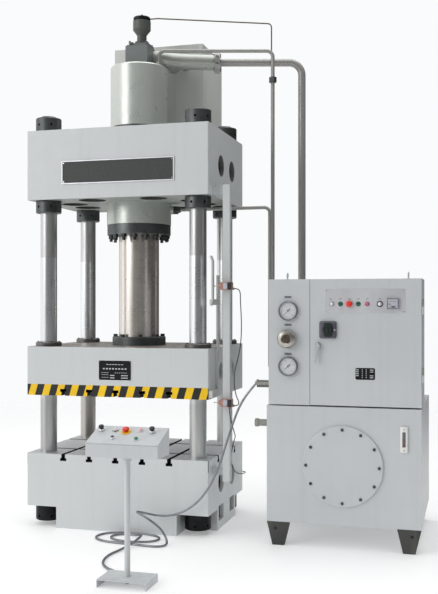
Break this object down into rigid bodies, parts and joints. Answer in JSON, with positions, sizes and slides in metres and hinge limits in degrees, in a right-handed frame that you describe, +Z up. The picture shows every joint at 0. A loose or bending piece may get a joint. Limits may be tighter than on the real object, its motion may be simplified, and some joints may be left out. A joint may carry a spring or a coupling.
{
  "type": "hydraulic press",
  "caption": "Upright four-column hydraulic press with a slotted table and slide, top cylinder, piped power unit with electrical cabinet, and a push-button pedestal on flexible conduit.",
  "frame": {"origin": "on the floor under the cylinder's axis, at the middle of the bed's underside", "axes": "+Z up along the cylinder's axis, +X from the press to its power unit, +Y from the press's front to its back"},
  "size_m": [2.8145, 2.535, 3.792],
  "materials": {
    "frame_paint": "satin",
    "table_steel": "ground",
    "column_chrome": "hard-chromed",
    "rod_steel": "ground and polished",
    "nut_black": "blackened",
    "bolt_steel": "blackened steel",
    "cylinder_paint": "satin",
    "valve_dark": "painted",
    "bush_iron": "turned",
    "pipe_paint": "satin",
    "trip_steel": "satin",
    "switch_case": "enamel",
    "plunger_steel": "bright",
    "unit_paint": "satin",
    "level_glass": "clear anodised",
    "motor_paint": "satin",
    "manifold_steel": "phosphated",
    "gauge_case": "bright rim",
    "needle_black": "matte",
    "knob_steel": "polished",
    "handle_chrome": "chromed",
    "instrument_plastic": "gloss",
    "isolator_black": "matte",
    "button_green": "gloss",
    "button_red": "gloss",
    "conduit_metal": "wound steel hose",
    "cable_sheath": "matte",
    "fitting_grey": "matte"
  },
  "bodies": {
    "frame": {"bed_frame": "frame_paint", "bed_table": "table_steel", "columns": "column_chrome", "bed_nuts": "nut_black", "crown_under_nuts": "nut_black", "crown_top_nuts": "nut_black", "crown_frame": "frame_paint", "cylinder_barrel": "cylinder_paint", "gland_ring": "nut_black", "gland_bolts": "bolt_steel", "valve_block": "cylinder_paint", "prefill_valve": "valve_dark", "prefill_tank": "frame_paint", "suction_tube": "pipe_paint", "return_pipe": "pipe_paint", "pressure_pipe": "pipe_paint", "rod_side_pipe": "pipe_paint", "pilot_tube": "pipe_paint", "switch_bar": "frame_paint", "limit_switches": "switch_case", "oil_tank": "unit_paint", "tank_cover": "unit_paint", "tank_cover_bolts": "bolt_steel", "level_gauge": "level_glass", "motor": "motor_paint", "pump": "motor_paint", "manifold": "manifold_steel", "cabinet_shell": "unit_paint", "pressure_gauges": "gauge_case", "pedestal_stand": "unit_paint", "console_box": "unit_paint", "console_instruments": "instrument_plastic", "flexible_conduit": "conduit_metal", "cable_fittings": "fitting_grey", "switch_cable_upper": "cable_sheath", "switch_cable_lower": "cable_sheath"},
    "slide": {"slide_frame": "frame_paint", "slide_plate": "table_steel", "slide_bushes": "bush_iron", "piston_rod": "rod_steel", "rod_flange": "nut_black", "rod_flange_bolts": "bolt_steel", "trip_carrier": "trip_steel"},
    "cabinet_door": {"cabinet_door": "unit_paint", "door_instruments": "instrument_plastic"},
    "upper_plunger": {"upper_plunger": "plunger_steel"},
    "lower_plunger": {"lower_plunger": "plunger_steel"},
    "door_handle": {"door_handle": "handle_chrome"},
    "isolator_knob": {"isolator_knob": "isolator_black"},
    "start_button": {"start_button": "button_green"},
    "run_button": {"run_button": "button_green"},
    "cabinet_stop_button": {"cabinet_stop_button": "button_red"},
    "key_switch": {"key_switch": "isolator_black"},
    "regulator_knob": {"regulator_knob": "knob_steel"},
    "upper_needle": {"upper_needle": "needle_black"},
    "lower_needle": {"lower_needle": "needle_black"},
    "pedestal_stop_button": {"pedestal_stop_button": "button_red"},
    "pedestal_selector": {"pedestal_selector": "isolator_black"},
    "pedestal_push_left": {"pedestal_push_left": "isolator_black"},
    "pedestal_push_right": {"pedestal_push_right": "isolator_black"}
  },
  "joints": [
    {"name": "slide_stroke", "type": "slide", "parent": "frame", "child": "slide", "axis": [0, 0, 1], "range_m": [0, 0.65]},
    {"name": "cabinet_door_swing", "type": "hinge", "parent": "frame", "child": "cabinet_door", "pos_m": [2.1215, -0.5, 1.35], "axis": [0, 0, 1], "range_deg": [0, 110]},
    {"name": "upper_plunger_push", "type": "slide", "parent": "frame", "child": "upper_plunger", "axis": [1, 0, 0], "range_m": [0, 0.006], "stiffness_N_per_m": 400, "springref_m": -0.004},
    {"name": "lower_plunger_push", "type": "slide", "parent": "frame", "child": "lower_plunger", "axis": [1, 0, 0], "range_m": [0, 0.006], "stiffness_N_per_m": 400, "springref_m": -0.004},
    {"name": "door_handle_turn", "type": "hinge", "parent": "cabinet_door", "child": "door_handle", "pos_m": [1.446, -0.51, 1.337], "axis": [0, 1, 0], "range_deg": [0, 90]},
    {"name": "isolator_turn", "type": "hinge", "parent": "cabinet_door", "child": "isolator_knob", "pos_m": [1.513, -0.51, 1.437], "axis": [0, 1, 0], "range_deg": [0, 90]},
    {"name": "start_button_press", "type": "slide", "parent": "cabinet_door", "child": "start_button", "axis": [0, 1, 0], "range_m": [0, 0.005], "stiffness_N_per_m": 400, "springref_m": -0.004},
    {"name": "run_button_press", "type": "slide", "parent": "cabinet_door", "child": "run_button", "axis": [0, 1, 0], "range_m": [0, 0.005], "stiffness_N_per_m": 400, "springref_m": -0.004},
    {"name": "cabinet_stop_press", "type": "slide", "parent": "cabinet_door", "child": "cabinet_stop_button", "axis": [0, 1, 0], "range_m": [0, 0.006]},
    {"name": "key_turn", "type": "hinge", "parent": "cabinet_door", "child": "key_switch", "pos_m": [1.849, -0.51, 1.607], "axis": [0, 1, 0], "range_deg": [0, 90]},
    {"name": "regulator_turn", "type": "hinge", "parent": "frame", "child": "regulator_knob", "pos_m": [1.241, -0.51, 1.376], "axis": [0, 1, 0], "continuous": true},
    {"name": "upper_needle_swing", "type": "hinge", "parent": "frame", "child": "upper_needle", "pos_m": [1.247, -0.51, 1.561], "axis": [0, 1, 0], "range_deg": [0, 270], "stiffness_Nm_per_rad": 0.002, "springref_deg": -28.65},
    {"name": "lower_needle_swing", "type": "hinge", "parent": "frame", "child": "lower_needle", "pos_m": [1.247, -0.51, 1.193], "axis": [0, 1, 0], "range_deg": [0, 270], "stiffness_Nm_per_rad": 0.002, "springref_deg": -28.65},
    {"name": "pedestal_stop_press", "type": "slide", "parent": "frame", "child": "pedestal_stop_button", "axis": [0, 0.3387, -0.9409], "range_m": [0, 0.006]},
    {"name": "pedestal_selector_turn", "type": "hinge", "parent": "frame", "child": "pedestal_selector", "pos_m": [0.438, -1.549, 0.87076], "axis": [0, -0.3387, 0.9409], "range_deg": [-45, 45]},
    {"name": "pedestal_push_left_press", "type": "slide", "parent": "frame", "child": "pedestal_push_left", "axis": [0, 0.3387, -0.9409], "range_m": [0, 0.005], "stiffness_N_per_m": 400, "springref_m": -0.004},
    {"name": "pedestal_push_right_press", "type": "slide", "parent": "frame", "child": "pedestal_push_right", "axis": [0, 0.3387, -0.9409], "range_m": [0, 0.005], "stiffness_N_per_m": 400, "springref_m": -0.004}
  ]
}
